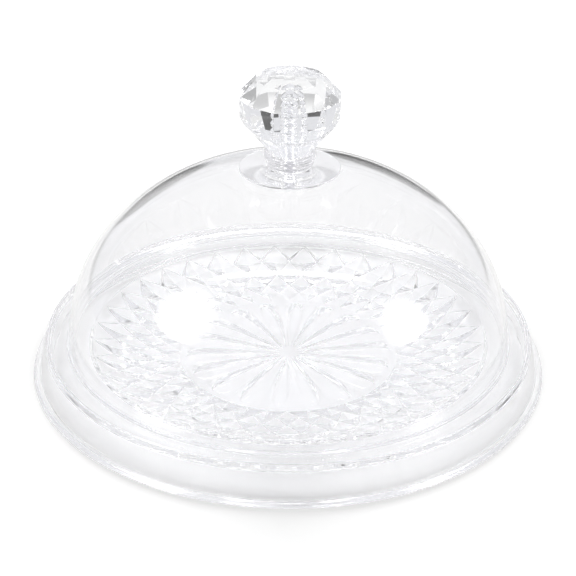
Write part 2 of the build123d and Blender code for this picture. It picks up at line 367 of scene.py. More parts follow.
def shadedFoot(tree, position, lighting, straight):
    # For the rays that carry light, the outside of the foot is black. This is a painted shadow on the
    # table beside it, in place of the light that the real foot bends away. The table inside keeps its
    # light.
    # Gives the share of light that goes straight through, and its colour.
    values = {key: value * mm for key, value in footShade.items()}
    parts = tree.nodes.new("ShaderNodeSeparateXYZ")
    tree.links.new(position, parts.inputs[0])
    x, y, z = parts.outputs
    reach = axisDistance(tree, x, y)
    skirt = mathNode(tree, "GREATER_THAN", reach, values["skirtRadius"])
    aboveBead = mathNode(tree, "GREATER_THAN", z, values["beadHeight"])
    inset = values["footRadius"] - values["beadRadius"]
    edge = mathNode(tree, "MULTIPLY_ADD", aboveBead, inset, values["beadRadius"])
    outer = mathNode(tree, "GREATER_THAN", reach, edge)
    overLow = mathNode(tree, "GREATER_THAN", z, values["low"])
    underHigh = mathNode(tree, "LESS_THAN", z, values["high"])
    band = mathNode(tree, "MULTIPLY", overLow, underHigh)
    geometry = tree.nodes.new("ShaderNodeNewGeometry")
    fromOutside = mathNode(tree, "SUBTRACT", lighting, geometry.outputs["Backfacing"])
    fromOutside = mathNode(tree, "MAXIMUM", fromOutside, 0.0)
    # The painted shadow's mask: the outer band, for light that comes from outside.
    foot = mathNode(tree, "MULTIPLY", mathNode(tree, "MULTIPLY", outer, band), fromOutside)
    share = mathNode(tree, "MULTIPLY_ADD", skirt, 1 - straight, straight)
    return mathNode(tree, "MULTIPLY", lighting, share), mathNode(tree, "SUBTRACT", 1.0, foot)


def acrylic(name, shadesTable=False):
    # Clear acrylic with a faint moulding ripple and a roughness that varies a little. A straight share of
    # the light on its way to the floor goes through unbent, the rest as the glass bends it.
    values = acrylicSettings
    finish = finishes[name]
    material, tree, surface = newMaterial(name)
    link = tree.links.new
    glass = tree.nodes.new("ShaderNodeBsdfPrincipled")
    glass.inputs["Base Color"].default_value = (*finish["tint"], 1)
    glass.inputs["Transmission Weight"].default_value = 1
    glass.inputs["IOR"].default_value = values["ior"]
    position = tree.nodes.new("ShaderNodeTexCoord").outputs["Object"]
    flow = tree.nodes.new("ShaderNodeTexNoise")
    flow.inputs["Scale"].default_value = 1 / (finish["waveSize"] * mm)
    flow.inputs["Detail"].default_value = values["waveDetail"]
    grain = tree.nodes.new("ShaderNodeTexNoise")
    grain.inputs["Scale"].default_value = 1 / (values["grainShare"] * finish["waveSize"] * mm)
    grain.inputs["Detail"].default_value = values["grainDetail"]
    roughness = mapRange(tree, grain.outputs["Fac"], values["hazeFrom"], values["hazeTo"],
                         finish["roughness"], finish["roughness"] + finish["haze"])
    bump = tree.nodes.new("ShaderNodeBump")
    bump.inputs["Strength"].default_value = 1.0
    bump.inputs["Distance"].default_value = finish["ripple"] * mm
    through = tree.nodes.new("ShaderNodeBsdfTransparent")
    mix = tree.nodes.new("ShaderNodeMixShader")
    path = tree.nodes.new("ShaderNodeLightPath")
    afterDiffuse = mathNode(tree, "GREATER_THAN", path.outputs["Diffuse Depth"], 0.5)
    lighting = mathNode(tree, "MAXIMUM", path.outputs["Is Shadow Ray"], afterDiffuse)
    if shadesTable:
        share, colour = shadedFoot(tree, position, lighting, finish["straight"])
        link(colour, through.inputs["Color"])
    else:
        share = mathNode(tree, "MULTIPLY", lighting, finish["straight"])
    # Rays that would be caught inside for good are let out.
    caught = mathNode(tree, "GREATER_THAN", path.outputs["Ray Depth"], values["lastTurn"])
    link(mathNode(tree, "MAXIMUM", share, caught), mix.inputs["Fac"])
    link(position, flow.inputs["Vector"])
    link(position, grain.inputs["Vector"])
    link(roughness, glass.inputs["Roughness"])
    link(flow.outputs["Fac"], bump.inputs["Height"])
    link(bump.outputs["Normal"], glass.inputs["Normal"])
    link(glass.outputs[0], mix.inputs[1])
    link(through.outputs[0], mix.inputs[2])
    link(mix.outputs[0], surface)
    return material


plateAcrylic = acrylic("plate acrylic", shadesTable=True)
domeAcrylic = acrylic("dome acrylic")
seatAcrylic = acrylic("seat acrylic")
collarShadedAcrylic = acrylic("collar acrylic with painted shade")
knobAcrylic = acrylic("knob acrylic")
screwShadedPlastic = acrylic("screw plastic with painted shade")
washerPlastic = acrylic("washer plastic")
print("materials done")


# Plate: one 20 degree sector with its diamonds and one petal, repeated 18 times

plateSettings = {
    "footRadius": 152.5,
    "beadRound": 3.0,
    "footEdge": 0.5,
    "beadInner": 148.7,
    "footInner": 147.3,
    "lipRadius": 144.3,
    "lipWidth": 2.5,
    "lipHeight": 21.4,
    "lipSteps": 10,
    "ledgeHeight": 18.6,
    "ledgeUnderside": 16.0,
    "ledgeEdge": 0.3,
    "ledgeRise": 0.7,
    "ledgeRiseWidth": 5.2,
    "skirtWall": 2.6,
    "beadSteps": 9,
    "rounds": {
        "ledgeEdge": 0.4, "ledge": 0.8, "rise": 0.3, "beadTop": 0.5,
        "footEdge": 0.4, "footInner": 0.5, "skirt": 0.8},
    "floorTop": 4.4,
    "floorUnderside": 1.2,
    "floorRadius": 62.0,
    "floorRings": (6, 20, 34, 48),
    "wellEdge": 119.1,
    "wellPower": 2.7,
    "wellWall": 3.2,
    "wellSteps": 24,
    "sectors": 18,
    "columns": 16,
    "patternTurn": 4.8,
    "diamondOuter": 118.2,
    "diamondRatio": 0.888,
    "diamondRows": 5,
    "halfDiamonds": 4,  # across one sector
    "grooveDepth": 2.4,
    "crownDepth": 0.15,
    "shoulderRunout": 4.0,
    "shoulderBands": 4,
    "petalInner": 5.0,
    "petalPeak": 46.0,
    "petalOuter": 61.5,
    "petalWidth": 11.4,
    "petalDepth": 1.3,
    "petalPower": 0.8,
    "petalPoints": 12,
    "petalAcross": 8,
}


def wellHeight(radius, depth=0.0):
    # Underside of the well, or a surface that much deeper in its wall.
    values = plateSettings
    span = values["wellEdge"] - values["floorRadius"]
    share = max(0, radius - values["floorRadius"]) / span
    rise = values["ledgeUnderside"] - values["floorUnderside"]
    slope = rise * values["wellPower"] * share ** (values["wellPower"] - 1) / span
    return values["floorUnderside"] + rise * share ** values["wellPower"] + depth * math.hypot(1, slope)


def plateOutline():
    # From the middle of the floor's top, out over the lip, and back in under the ledge.
    values = plateSettings
    rounds = values["rounds"]
    ledge, ledgeEdge = values["ledgeHeight"], values["ledgeEdge"]
    ledgeInner = values["wellEdge"]
    fineStep = 0.05
    while wellHeight(ledgeInner, values["wellWall"]) > ledge - ledgeEdge:
        ledgeInner -= fineStep
    points = [(radius, values["floorTop"]) for radius in values["floorRings"]]
    for step in range(values["wellSteps"]):
        radius = values["floorRadius"] + (ledgeInner - values["floorRadius"]) * step / values["wellSteps"]
        points.append((radius, wellHeight(radius, values["wellWall"])))
    lipInner = values["lipRadius"] - values["lipWidth"]
    lipRound = values["lipWidth"] / 2
    lipSide = values["lipHeight"] - lipRound
    points += rounded([
        (ledgeInner, ledge - ledgeEdge, 0),
        (ledgeInner + ledgeEdge, ledge, rounds["ledgeEdge"]),
        (lipInner - values["ledgeRiseWidth"], ledge, rounds["ledge"]),
        (lipInner, ledge + values["ledgeRise"], rounds["rise"]),
        (lipInner, lipSide, 0),
    ])
    points += arcPoints(values["lipRadius"] - lipRound, lipSide, lipRound, 180, 0, values["lipSteps"])[1:]
    beadCrest = values["footRadius"] - values["beadRound"]
    beadTop = values["footEdge"] + values["beadRound"]
    points += rounded([
        (values["lipRadius"], lipSide, 0),
        (values["beadInner"], beadTop, rounds["beadTop"]),
        (beadCrest, beadTop, 0),
    ])[1:]
    points += arcPoints(beadCrest, values["footEdge"], values["beadRound"], 90, 0, values["beadSteps"])[1:]
    points += rounded([
        (values["footRadius"], values["footEdge"], 0),
        (values["footRadius"], contactGap, rounds["footEdge"]),
        (values["footInner"], contactGap, rounds["footInner"]),
        (values["lipRadius"] - values["skirtWall"], values["ledgeUnderside"], rounds["skirt"]),
        (values["wellEdge"], values["ledgeUnderside"], 0),
    ])[1:]
    return points


def petalHalfWidth(radius):
    values = plateSettings
    if radius < values["petalPeak"]:
        share = (radius - values["petalInner"]) / (values["petalPeak"] - values["petalInner"])
        return values["petalWidth"] / 2 * math.sin(math.pi / 2 * share)
    share = (values["petalOuter"] - radius) / (values["petalOuter"] - values["petalPeak"])
    return values["petalWidth"] / 2 * math.sqrt(max(0, 1 - (1 - share) ** 2))


def sectorAngles():
    values = plateSettings
    span = 360 / values["sectors"]
    start = values["patternTurn"] - span / 2
    return [start + span * column / values["columns"] for column in range(values["columns"] + 1)]


def addShoulder(bm, angles, edgeLine):
    # The smooth band from the ledge to the zigzag where the outer grooves run out.
    values = plateSettings
    outer, edge = values["diamondOuter"], values["wellEdge"]
    inner = outer * values["diamondRatio"] + values["shoulderRunout"]
    perHalf = values["columns"] // values["halfDiamonds"]
    zigzag = []
    for column in range(values["columns"] + 1):
        share = (column % (2 * perHalf)) / perHalf
        share = share if share <= 1 else 2 - share
        zigzag.append(outer + (inner - outer) * share)
    lines = [edgeLine]
    for band in range(1, values["shoulderBands"] + 1):
        radii = [edge + (radius - edge) * band / values["shoulderBands"] for radius in zigzag]
        lines.append([bm.verts.new(polarPoint(radius, angle, wellHeight(radius)))
                      for radius, angle in zip(radii, angles)])
    smoothGrid(bm, lines)
    return lines[-1]


def addDiamonds(bm, angles, zigzagLine):
    # The net of groove crossings and diamond crowns, with flat facets between them.
    values = plateSettings
    halves = values["halfDiamonds"]
    halfAngle = 360 / values["sectors"] / halves
    perHalf = values["columns"] // halves
    sideSteps = halves // 2
    lastRow = values["diamondRows"]
    innerRadius = values["diamondOuter"] * values["diamondRatio"] ** lastRow
    innerLine = ringLine(bm, innerRadius, angles, wellHeight(innerRadius))
    net = {}
    for row in range(1, lastRow):
        radius = values["diamondOuter"] * values["diamondRatio"] ** row
        for step in range(-sideSteps, sideSteps + 1):
            crossing = (step + row) % 2 == 0
            height = wellHeight(radius, values["grooveDepth"] if crossing else values["crownDepth"])
            angle = values["patternTurn"] + halfAngle * step
            net[step, row] = bm.verts.new(polarPoint(radius, angle, height))
    for step in range(-sideSteps, sideSteps):
        first = (step + sideSteps) * perHalf
        topEdge = zigzagLine[first:first + perHalf + 1]
        valleyStep = step if step % 2 else step + 1
        crownStep = step + 1 if step % 2 else step
        valley = net[valleyStep, 1]
        for a, b in zip(topEdge, topEdge[1:]):
            bm.faces.new([a, b, valley])
        tip = topEdge[0] if crownStep == step else topEdge[-1]
        bm.faces.new([tip, valley, net[crownStep, 1]])
        for row in range(1, lastRow - 1):
            corners = [net[step, row], net[step + 1, row], net[step + 1, row + 1], net[step, row + 1]]
            if (step + row) % 2 == 0:
                bm.faces.new([corners[0], corners[1], corners[2]])
                bm.faces.new([corners[0], corners[2], corners[3]])
            else:
                bm.faces.new([corners[0], corners[1], corners[3]])
                bm.faces.new([corners[1], corners[2], corners[3]])
        bottomEdge = innerLine[first:first + perHalf + 1]
        lowRow = lastRow - 1
        crossStep = step if (step + lowRow) % 2 == 0 else step + 1
        crown = net[step + 1 if crossStep == step else step, lowRow]
        apex = net[crossStep, lowRow]
        for a, b in zip(bottomEdge, bottomEdge[1:]):
            bm.faces.new([a, b, apex])
        corner = bottomEdge[-1] if crossStep == step else bottomEdge[0]
        bm.faces.new([apex, crown, corner])
    return innerLine, innerRadius


def petalSide():
    # Radii along one side of the petal, from its inner tip to its outer end.
    values = plateSettings
    count = values["petalPoints"]
    inner, peak, outer = values["petalInner"], values["petalPeak"], values["petalOuter"]
    side = [inner + (peak - inner) * k / count for k in range(1, count)]
    return side + [peak + (outer - peak) * math.sin(math.pi / 2 * k / count) for k in range(count)]


def addFloorUnderside(bm, angles):
    # The flat underside of the floor, with the petal's outline left open.
    values = plateSettings
    side = petalSide()
    turns = [math.radians(angle - values["patternTurn"]) for angle in angles]
    radius = values["floorRadius"]
    outside = [(0.0, 0.0)] + [(radius * math.cos(turn), radius * math.sin(turn)) for turn in turns]
    petal = [(values["petalInner"], 0.0)] + [(reach, -petalHalfWidth(reach)) for reach in side]
    petal += [(values["petalOuter"], 0.0)] + [(reach, petalHalfWidth(reach)) for reach in reversed(side)]
    count = len(outside)
    edges = [(k, (k + 1) % count) for k in range(count)]
    edges += [(count + k, count + (k + 1) % len(petal)) for k in range(len(petal))]
    insideOnly, tolerance = 1, 1e-6
    made = delaunay_2d_cdt([Vector(point) for point in outside + petal], edges, [], insideOnly, tolerance)
    places, faces, origins = made[0], made[2], made[3]
    height = values["floorUnderside"] * mm
    spin = Matrix.Rotation(math.radians(values["patternTurn"]), 3, "Z")
    verts = [bm.verts.new(spin @ Vector((place.x * mm, place.y * mm, height))) for place in places]
    onPetal = [any(source >= count for source in origin) for origin in origins]
    for face in faces:
        if not all(onPetal[k] for k in face):
            bm.faces.new([verts[k] for k in face]).smooth = True


def addPetal(bm):
    # The petal's own scooped surface.
    values = plateSettings
    across = values["petalAcross"]
    under = values["floorUnderside"]
    turn = values["patternTurn"]
    spin = Matrix.Rotation(math.radians(turn), 3, "Z")
    lines = [[bm.verts.new(polarPoint(values["petalInner"], turn, under))] * (across + 1)]
    for radius in petalSide():
        half = petalHalfWidth(radius)
        depth = values["petalDepth"] * (2 * half / values["petalWidth"]) ** values["petalPower"]
        line = []
        for k in range(across + 1):
            share = 2 * k / across - 1
            rise = depth * (1 - share * share)
            place = Vector((radius * mm, half * share * mm, (under + rise) * mm))
            line.append(bm.verts.new(spin @ place))
        lines.append(line)
    lines.append([bm.verts.new(polarPoint(values["petalOuter"], turn, under))] * (across + 1))
    for low, high in zip(lines, lines[1:]):
        for k in range(across):
            corners = [low[k], low[k + 1], high[k + 1], high[k]]
            corners = [v for j, v in enumerate(corners) if v not in corners[:j]]
            bm.faces.new(corners).smooth = True


def plateSector(bm):
    values = plateSettings
    angles = sectorAngles()
    middle = bm.verts.new((0, 0, values["floorTop"] * mm))
    rows = [ringLine(bm, radius, angles, height) for radius, height in plateOutline()]
    for column in range(values["columns"]):
        bm.faces.new([middle, rows[0][column], rows[0][column + 1]]).smooth = True
    smoothGrid(bm, rows)
    zigzagLine = addShoulder(bm, angles, rows[-1])
    innerLine, innerRadius = addDiamonds(bm, angles, zigzagLine)
    floorLine = ringLine(bm, values["floorRadius"], angles, values["floorUnderside"])
    midRadius = (innerRadius + values["floorRadius"]) / 2
    midLine = ringLine(bm, midRadius, angles, wellHeight(midRadius))
    smoothGrid(bm, [innerLine, midLine, floorLine])
    addFloorUnderside(bm, angles)
    addPetal(bm)


ringPattern = ringPatternTree()
plateSource = newMesh("plate sector", plateSector)
plateMesh = meshFromTree("plate", plateSource, ringPattern, {
    "Count": plateSettings["sectors"], "Join distance": sectorJoin, "Material": plateAcrylic}, sharpAngle)
addPiece("plate", plateMesh, plateAcrylic, "base_plate", "plate")
print("plate done")


# Dome: a thin shell on a small rim, with pads round its screw hole

domeSettings = {
    "radius": 130.5,
    "wall": 2.6,
    "base": 18.6,
    "spring": 21.6,
    "apex": 124.6,
    "rimWidth": 1.6,
    "rimHeight": 2.4,
    "baseRound": 0.35,
    "rimRound": 0.75,
    "neckRound": 0.15,
    "padRadius": 12.0,
    "padTop": 124.9,
    "padSlope": 0.15,
    "innerPadRadius": 9.0,
    "innerPad": 121.4,
    "holeRadius": 3.1,
    "segments": 256,
    "steps": 60,
    "sharpAngle": 32,
}


def shellCurve(halfWidth, halfHeight, endRadius, steps):
    end = math.acos(endRadius / halfWidth)
    spring = domeSettings["spring"]
    return [(halfWidth * math.cos(end * k / steps), spring + halfHeight * math.sin(end * k / steps))
            for k in range(steps + 1)]


def domeOutline():
    values = domeSettings
    rise = values["apex"] - values["spring"]
    inner = values["radius"] - values["wall"]
    base = values["base"] + contactGap
    rimRadius = values["radius"] + values["rimWidth"]
    rimTop = values["base"] + values["rimHeight"]
    points = rounded([
        (inner, values["spring"], 0),
        (inner, base, values["baseRound"]),
        (rimRadius, base, values["baseRound"]),
        (rimRadius, rimTop, values["rimRound"]),
        (values["radius"], rimTop, values["neckRound"]),
        (values["radius"], values["spring"], 0),
    ])
    outer = shellCurve(values["radius"], rise, values["padRadius"], values["steps"])
    points += outer[1:]
    points += [
        (values["padRadius"] - values["padSlope"], values["padTop"]),
        (values["holeRadius"], values["padTop"]),
        (values["holeRadius"], values["innerPad"]),
        (values["innerPadRadius"], values["innerPad"]),
    ]
    innerCurve = shellCurve(inner, rise - values["wall"], values["innerPadRadius"], values["steps"])
    return points + list(reversed(innerCurve))[:-1]


turnedPiece("dome", domeOutline(), domeSettings["segments"], domeAcrylic,
            "dome_cover", "dome", domeSettings["sharpAngle"])
print("dome done")


# Knob seat: a flared disc on top of the dome

seatSettings = {
    "radius": 29.0,
    "base": 124.9,
    "edge": 1.3,
    "height": 2.6,
    "padRadius": 14.4,
    "holeRadius": 3.1,
    "baseRound": 0.4,
    "edgeRound": 0.5,
    "edgeLand": 0.9,
    "flareInset": 0.3,
    "flareRise": 0.3,  # halfway in, as a share of the whole rise
    "flareSteps": 14,
    "segments": 192,
}


def seatOutline():
    values = seatSettings
    radius = values["radius"]
    base = values["base"] + contactGap
    edgeTop = values["base"] + values["edge"]
    top = values["base"] + values["height"]
    middle = (radius + values["padRadius"]) / 2
    flare = throughPoints(
        (radius - values["flareInset"], edgeTop),
        (middle, edgeTop + (top - edgeTop) * values["flareRise"]),
        (values["padRadius"], top), values["flareSteps"])
    edge = rounded([
        (values["holeRadius"], top, 0),
        (values["holeRadius"], base, 0),
        (radius, base, values["baseRound"]),
        (radius, edgeTop, values["edgeRound"]),
        (radius - values["edgeLand"], edgeTop, 0),
    ])
    return edge[:-1] + flare


turnedPiece("seat", seatOutline(), seatSettings["segments"], seatAcrylic,
            "knob_seat", "dome")
print("seat done")


# Collar: two stacked beads, with a cup in the top one

collarSettings = {
    "base": 127.5,
    "neckRadius": 12.0,
    "lowerRadius": 13.7,
    "lowerHeight": 4.0,
    "lowerSteps": 14,
    "upperRadius": 15.3,
    "upperHeight": 5.0,
    "upperSteps": 16,
    "cupDepth": 2.2,
    "cupFloorRadius": 11.1,
    "cupMouthRadius": 12.79,
    "rimRadius": 13.49,
    "holeRadius": 3.1,
    "segments": 192,
}


def collarOutline():
    values = collarSettings
    base = values["base"] + contactGap
    waist = values["base"] + values["lowerHeight"]
    top = waist + values["upperHeight"]
    cup = top - values["cupDepth"]
    lower = throughPoints(
        (values["neckRadius"], base), (values["lowerRadius"], (base + waist) / 2),
        (values["neckRadius"], waist), values["lowerSteps"])
    upper = throughPoints(
        (values["neckRadius"], waist), (values["upperRadius"], waist + values["upperHeight"] / 2),
        (values["rimRadius"], top), values["upperSteps"])
    return ([(values["holeRadius"], cup), (values["holeRadius"], base)] + lower + upper[1:]
            + [(values["cupMouthRadius"], top), (values["cupFloorRadius"], cup)])


turnedPiece("collar", collarOutline(), collarSettings["segments"], collarShadedAcrylic,
            "knob_collar", "dome")
print("collar done")


# Knob: one of twelve wedges, with a ribbed screw hole up its middle

knobSettings = {
    "sides": 12,
    "turn": 12.0,
    "base": 134.3,
    "rings": [
        (10.8, 0), (20.5, 12.6), (26.3, 19.1), (28.9, 24.4), (28.9, 35.0), (19.6, 45.3), (9.0, 49.8)],
    "peak": 51.1,
    "edgeRound": 0.16,
    "cutAngle": 8,  # steeper edges get the round
    "sharpAngle": 6,
    "holeRadius": 3.1,
    "ribRadius": 5.0,
    "ribPitch": 4.6,
    "ribStart": 14.6,
    "ribLead": 0.4,
    "ribCount": 4,
    "ribSteps": 12,
    "ribPower": 0.8,
    "holeTop": 34.4,
    "endSide": 1.2,  # the hole's blunt end begins this far below its top
    "endRise": 0.3,
    "endShare": 0.7,
    "holeColumns": 6,
}


def holeOutline():
    # The moulded thread of the hole: round ribs, each one pitch high, and a blunt end.
    values = knobSettings
    hole, start, steps = values["holeRadius"], values["ribStart"], values["ribSteps"]
    points = [(hole, contactGap), (hole, start - values["ribLead"])]
    for rib in range(values["ribCount"]):
        for step in range(steps):
            share = step / steps
            swell = math.sin(math.pi * share) ** values["ribPower"]
            radius = hole + (values["ribRadius"] - hole) * swell
            points.append((radius, start + (rib + share) * values["ribPitch"]))
    points.append((hole, start + values["ribCount"] * values["ribPitch"]))
    points.append((hole, values["holeTop"] - values["endSide"]))
    points.append((hole * values["endShare"], values["holeTop"] - values["endRise"]))
    return points


def knobWedge(bm):
    values = knobSettings
    span = 360 / values["sides"]
    first = values["turn"] - 90
    base = values["base"]
    radii = [radius for radius, height in values["rings"]]
    heights = [base + (height if height else contactGap) for radius, height in values["rings"]]
    left, right = [
        [bm.verts.new(polarPoint(radius, angle, height)) for radius, height in zip(radii, heights)]
        for angle in (first, first + span)]
    peak = bm.verts.new((0, 0, (base + values["peak"]) * mm))
    for row in range(len(left) - 1):
        bm.faces.new([left[row], right[row], right[row + 1], left[row + 1]])
    bm.faces.new([left[-1], right[-1], peak])
    count = values["holeColumns"]
    angles = [first + span * k / count for k in range(count + 1)]
    outline = holeOutline()
    rows = [ringLine(bm, radius, angles, base + height) for radius, height in outline]
    bm.faces.new([left[0]] + rows[0] + [right[0]])
    smoothGrid(bm, rows)
    end = bm.verts.new((0, 0, (base + values["holeTop"]) * mm))
    for k in range(count):
        bm.faces.new([rows[-1][k], rows[-1][k + 1], end]).smooth = True


knobSource = newMesh("knob wedge", knobWedge)
knobMesh = meshFromTree("knob", knobSource, ringPattern, {
    "Count": knobSettings["sides"], "Join distance": sectorJoin, "Material": knobAcrylic}, sharpAngle)


def softenKnob(mesh):
    # A hair of a round on every cut edge of the outside, as polishing leaves it.
    values = knobSettings
    bm = bmesh.new()
    bm.from_mesh(mesh)
    clearance = 0.5
    inside = (values["ribRadius"] + clearance) * mm
    steep = math.radians(values["cutAngle"])
    edges = []
    for edge in bm.edges:
        far = min(math.hypot(v.co.x, v.co.y) for v in edge.verts) > inside
        if far and len(edge.link_faces) == 2 and edge.calc_face_angle() > steep:
            edges.append(edge)
    bmesh.ops.bevel(bm, geom=edges, offset=values["edgeRound"] * mm, segments=2,
                    profile=0.5, affect="EDGES", clamp_overlap=True)
    bm.to_mesh(mesh)
    bm.free()
    closeUp(mesh, values["sharpAngle"])


softenKnob(knobMesh)
addPiece("knob", knobMesh, knobAcrylic, "faceted_knob", "dome")
print("knob done")


# Screw: a slotted head under the dome and a threaded shank up into the knob

screwSettings = {
    "headBase": 116.9,
    "headTop": 119.9,
    "headRadius": 5.4,
    "headSide": 1.0,
    "headRound": 0.2,
    "crownShare": 0.7,
    "crownDepth": 2.4,
    "crownSteps": 12,
    "shankRadius": 2.8,
    "shankRows": 150,
    "tip": 160.2,
    "tipCut": 1.0,
    "slotWidth": 1.3,
    "slotDepth": 1.2,
    "threadFrom": 138.0,
    "threadTo": 159.0,
    "threadPitch": 2.3,
    "threadDepth": 0.55,
    "segments": 64,
    "sharpAngle": 40,
}


def screwOutline():
    values = screwSettings
    headTop = values["headTop"] - contactGap
    headEdge = headTop - values["headSide"]
    crown = throughPoints(
        (values["headRadius"], headEdge),
        (values["headRadius"] * values["crownShare"], headTop - values["crownDepth"]),
        (0.0, values["headBase"]), values["crownSteps"])
    points = [(0, values["headBase"])] + list(reversed(crown))[1:]
    points += rounded([
        (values["headRadius"], headEdge, 0),
        (values["headRadius"], headTop, values["headRound"]),
        (values["shankRadius"], headTop, 0),
    ])[1:]
    length = values["tip"] - values["tipCut"] - headTop
    for row in range(1, values["shankRows"] + 1):
        points.append((values["shankRadius"], headTop + length * row / values["shankRows"]))
    return points + [(values["shankRadius"] - values["tipCut"], values["tip"]), (0, values["tip"])]


def cutSlot(mesh):
    # The driver's slot across the head, cut by the upper half of a block that is longer than the head.
    values = screwSettings
    size = Vector((3 * values["headRadius"], values["slotWidth"], 2 * values["slotDepth"])) * mm
    middle = Vector((0, 0, values["headBase"])) * mm
    block = Matrix.LocRotScale(middle, None, size)
    tool = newMesh("slot tool", lambda bm: bmesh.ops.create_cube(bm, size=1, matrix=block))
    toolObject = bpy.data.objects.new("slot tool", tool)
    holder = bpy.data.objects.new("screw source", mesh)
    scene.collection.objects.link(toolObject)
    scene.collection.objects.link(holder)
    modifier = holder.modifiers.new("slot", "BOOLEAN")
    modifier.operation = "DIFFERENCE"
    modifier.object = toolObject
    evaluated = holder.evaluated_get(bpy.context.evaluated_depsgraph_get())
    made = bpy.data.meshes.new_from_object(evaluated)
    bpy.data.objects.remove(holder)
    bpy.data.objects.remove(toolObject)
    return made


screwBlank = newMesh("screw blank", turnedBuild(screwOutline(), screwSettings["segments"]))
closeUp(screwBlank, sharpAngle)
screwBlank = cutSlot(screwBlank)
screwMesh = meshFromTree("screw", screwBlank, threadTree(), {
    "Pitch": screwSettings["threadPitch"] * mm, "Depth": screwSettings["threadDepth"] * mm,
    "Crest radius": screwSettings["shankRadius"] * mm, "From height": screwSettings["threadFrom"] * mm,
    "To height": screwSettings["threadTo"] * mm, "Material": screwShadedPlastic}, screwSettings["sharpAngle"])
addPiece("screw", screwMesh, screwShadedPlastic, "knob_screw", "dome")
print("screw done")


# Washer between the screw's head and the dome

washerSettings = {
    "base": 119.9,
    "top": 121.4,
    "innerRadius": 3.1,
    "outerRadius": 8.0,
    "holeRound": 0.15,
    "edgeRound": 0.3,
    "segments": 96,
    "sharpAngle": 40,
}


def washerOutline():
    values = washerSettings
    low, high = values["base"], values["top"] - contactGap
    return rounded([
        (values["innerRadius"], low, values["holeRound"]),
        (values["outerRadius"], low, values["edgeRound"]),
        (values["outerRadius"], high, values["edgeRound"]),
        (values["innerRadius"], high, values["holeRound"]),
    ], closed=True)


turnedPiece("washer", washerOutline(), washerSettings["segments"], washerPlastic,
            "screw_washer", "dome", washerSettings["sharpAngle"])
print("washer done")


# Camera

cameraSettings = {
    "distance": 0.915,
    "lens": 96.6,
    "sensorWidth": 36,
    "elevation": 28.66,
    "roll": 0.454,
    "target": (-0.00046, 0.0, 0.04743),
}


def addCamera():
    values = cameraSettings
    rise = math.radians(values["elevation"])
    roll = math.radians(values["roll"])
    back = Vector((0, -math.cos(rise), math.sin(rise)))
    level = Vector((1, 0, 0))
    upward = Vector((0, math.sin(rise), math.cos(rise)))
    across = math.cos(roll) * level + math.sin(roll) * upward
    up = math.cos(roll) * upward - math.sin(roll) * level
    place = Vector(values["target"]) + values["distance"] * back
    data = bpy.data.cameras.new("camera")
    data.lens = values["lens"]
    data.sensor_width = values["sensorWidth"]
    camera = bpy.data.objects.new("camera", data)
    scene.collection.objects.link(camera)
    turned = Matrix((across, up, back)).transposed().to_4x4()
    camera.matrix_world = Matrix.Translation(place) @ turned
    scene.camera = camera


addCamera()
print("camera done")


# Studio: a white floor, and a pale room with soft windows and grey cards that only the glass sees

studioSettings = {
    "worldLow": 0.64,  # what the world gives as light, where 1 is its own white
    "floorSize": 8,
    "floorShade": 0.86,
    "floorGlow": 0.25,
    "farGlow": 0.24,  # more of it far out, between the next two distances
    "farFrom": 0.35,
    "farTo": 1.5,
    "glassFloorGlow": 0.04,  # for what the acrylic shows of the floor
    "roomRadius": 0.78,
    "roomHeight": 1.5,
    "roomTint": (0.96, 0.965, 1),
    "fadeFrom": 0.2,
    "wallShade": 0.8,
    "ceilingShade": 1.0,
    "roomSegments": 96,
    "panelSegments": 48,
    "glowCore": 0.3,  # the even part of a window, and of a card, before the edge fades
    "darkCore": 0.7,
    "bounces": {"all": 32, "transmission": 28, "glossy": 16, "transparent": 48},
    "panels": [
        ("glow left", (-0.62, -0.27, 0.55), (0, 0, 0.08), (0.5, 0.62), 9.0),
        ("glow right", (0.68, -0.25, 0.46), (0, 0, 0.08), (0.42, 0.54), 9.0),
        ("dark back left", (-0.3, 0.69, 0.06), (-0.1, 0, 0.08), (0.34, 0.26), 0.1),
        ("dark back right", (0.2, 0.72, 0.06), (0.06, 0, 0.08), (0.34, 0.26), 0.1),
        ("dark floor left", (-0.46, 0.48, 0.002), (-0.46, 0.48, -1), (0.36, 0.5), 0.4),
        ("dark floor right", (0.36, 0.5, 0.002), (0.36, 0.5, -1), (0.34, 0.5), 0.4),
        ("grey floor back", (0.0, 0.45, 0.003), (0.0, 0.45, -1), (0.6, 0.22), 0.58),
        ("dark front", (0.0, -0.74, 0.62), (0, 0, 0.1), (0.5, 0.4), 0.4),
        ("dark front left", (-0.5, -0.55, 0.2), (0, 0, 0.1), (0.2, 0.3), 0.4),
        ("dark front right", (0.45, -0.6, 0.15), (0, 0, 0.1), (0.24, 0.26), 0.4),
        ("dark top", (0.12, 0.1, 1.4), (0, 0, 0.1), (0.4, 0.5), 0.05),
        ("dark side left", (-0.72, 0.2, 0.2), (0, 0, 0.1), (0.16, 0.3), 0.3),
        ("dark side right", (0.72, 0.2, 0.15), (0, 0, 0.1), (0.16, 0.3), 0.3),
    ],
    "boxes": [
        ("soft box left", (-0.55, -0.75, 0.75), (0, 0, 0.08), 0.3, 1.0),
        ("soft box right", (0.55, -0.75, 0.75), (0, 0, 0.08), 0.3, 1.0),
        ("soft box back", (0.0, 0.8, 1.0), (0, 0, 0.05), 0.3, 6.0),
    ],
}


def seenRays(tree):
    # 1 for the rays that the picture shows, 0 for the ones that only carry light.
    path = tree.nodes.new("ShaderNodeLightPath")
    both = mathNode(tree, "MAXIMUM", path.outputs["Is Camera Ray"], path.outputs["Is Glossy Ray"])
    return mathNode(tree, "MAXIMUM", both, path.outputs["Is Transmission Ray"])


def middleDistance(tree):
    # Distance from the middle of the object that the material is on, in the object's own size.
    coordinates = tree.nodes.new("ShaderNodeTexCoord")
    reach = tree.nodes.new("ShaderNodeVectorMath")
    reach.operation = "LENGTH"
    tree.links.new(coordinates.outputs["Object"], reach.inputs[0])
    return reach.outputs["Value"]


